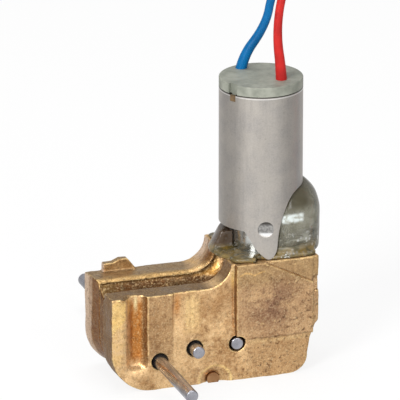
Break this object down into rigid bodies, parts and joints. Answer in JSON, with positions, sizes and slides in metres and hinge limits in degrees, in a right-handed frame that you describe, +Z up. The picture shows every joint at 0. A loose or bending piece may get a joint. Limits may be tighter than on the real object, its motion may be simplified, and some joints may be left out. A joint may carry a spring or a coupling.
{
  "type": "diverter valve drive",
  "caption": "Small can motor with two leads, potted onto a split brass worm gearbox whose long output shaft stands out at front and rear.",
  "frame": {"origin": "underside of the gearbox, straight below the motor's axis", "axes": "+Z up along the motor's axis, -Y along the output shaft out of the front face, +X to the right"},
  "size_m": [0.0685, 0.0603, 0.0779],
  "materials": {
    "brass_casting": "machined and as-cast brass",
    "bush_bronze": "turned bronze",
    "gear_brass": "cut brass",
    "shaft_steel": "ground steel",
    "pin_copper": "copper-coloured rivet",
    "can_nickel": "nickel-plated drawn steel",
    "frame_steel": "bright plated steel",
    "cap_plastic": "moulded grey-green plastic",
    "magnet_black": "sintered magnet",
    "core_steel": "laminated steel",
    "winding_copper": "enamelled copper wire",
    "holder_plastic": "black plastic",
    "glue_brown": "hardened glue",
    "resin_olive": "clear smoky casting resin",
    "lead_red": "soft PVC insulation",
    "lead_blue": "soft PVC insulation",
    "tinned_copper": "tinned copper strands"
  },
  "bodies": {
    "drive_body": {"front_housing": "brass_casting", "rear_housing": "brass_casting", "rivet_pin": "pin_copper", "dowel_pin_1": "shaft_steel", "dowel_pin_2": "shaft_steel", "first_front_bush": "bush_bronze", "first_rear_bush": "bush_bronze", "second_front_bush": "bush_bronze", "second_rear_bush": "bush_bronze", "output_front_bush": "bush_bronze", "output_rear_bush": "bush_bronze", "worm_foot_bush": "bush_bronze", "motor_bottom_bush": "bush_bronze", "motor_top_bush": "bush_bronze", "motor_can": "can_nickel", "can_stake": "can_nickel", "can_key_glue": "glue_brown", "motor_end_cap": "cap_plastic", "motor_frame": "frame_steel", "motor_magnets": "magnet_black", "brush_holder": "holder_plastic", "brushes": "winding_copper", "lead_tags": "tinned_copper", "potting_resin": "resin_olive", "red_lead": "lead_red", "red_lead_tip": "tinned_copper", "blue_lead": "lead_blue", "blue_lead_tip": "tinned_copper"},
    "rotor": {"motor_shaft": "shaft_steel", "rotor_core": "core_steel", "rotor_windings": "winding_copper", "commutator": "winding_copper", "worm": "gear_brass"},
    "first_shaft_set": {"first_shaft": "shaft_steel", "worm_wheel": "gear_brass", "first_pinion": "gear_brass", "first_washer": "shaft_steel"},
    "second_shaft_set": {"second_shaft": "shaft_steel", "second_gear": "gear_brass", "second_pinion": "gear_brass", "second_washer": "shaft_steel"},
    "output_set": {"output_shaft": "shaft_steel", "output_gear": "gear_brass", "output_washer": "shaft_steel", "output_front_clip": "shaft_steel", "output_rear_clip": "shaft_steel"}
  },
  "joints": [
    {"name": "output_spin", "type": "hinge", "parent": "drive_body", "child": "output_set", "pos_m": [-0.01865, 0, 0.00455], "axis": [0, 1, 0], "continuous": true},
    {"name": "second_spin", "type": "hinge", "parent": "drive_body", "child": "second_shaft_set", "pos_m": [-0.013, 0, 0.00605], "axis": [0, 1, 0], "continuous": true},
    {"name": "first_spin", "type": "hinge", "parent": "drive_body", "child": "first_shaft_set", "pos_m": [-0.0061, 0, 0.00605], "axis": [0, 1, 0], "continuous": true},
    {"name": "rotor_spin", "type": "hinge", "parent": "drive_body", "child": "rotor", "pos_m": [0, 0, 0.02], "axis": [0, 0, 1], "continuous": true}
  ],
  "couplings": [
    {"joint": "first_spin", "follows": "rotor_spin", "ratio": 0.033333},
    {"joint": "second_spin", "follows": "rotor_spin", "ratio": -0.017778},
    {"joint": "output_spin", "follows": "rotor_spin", "ratio": 0.015238}
  ]
}
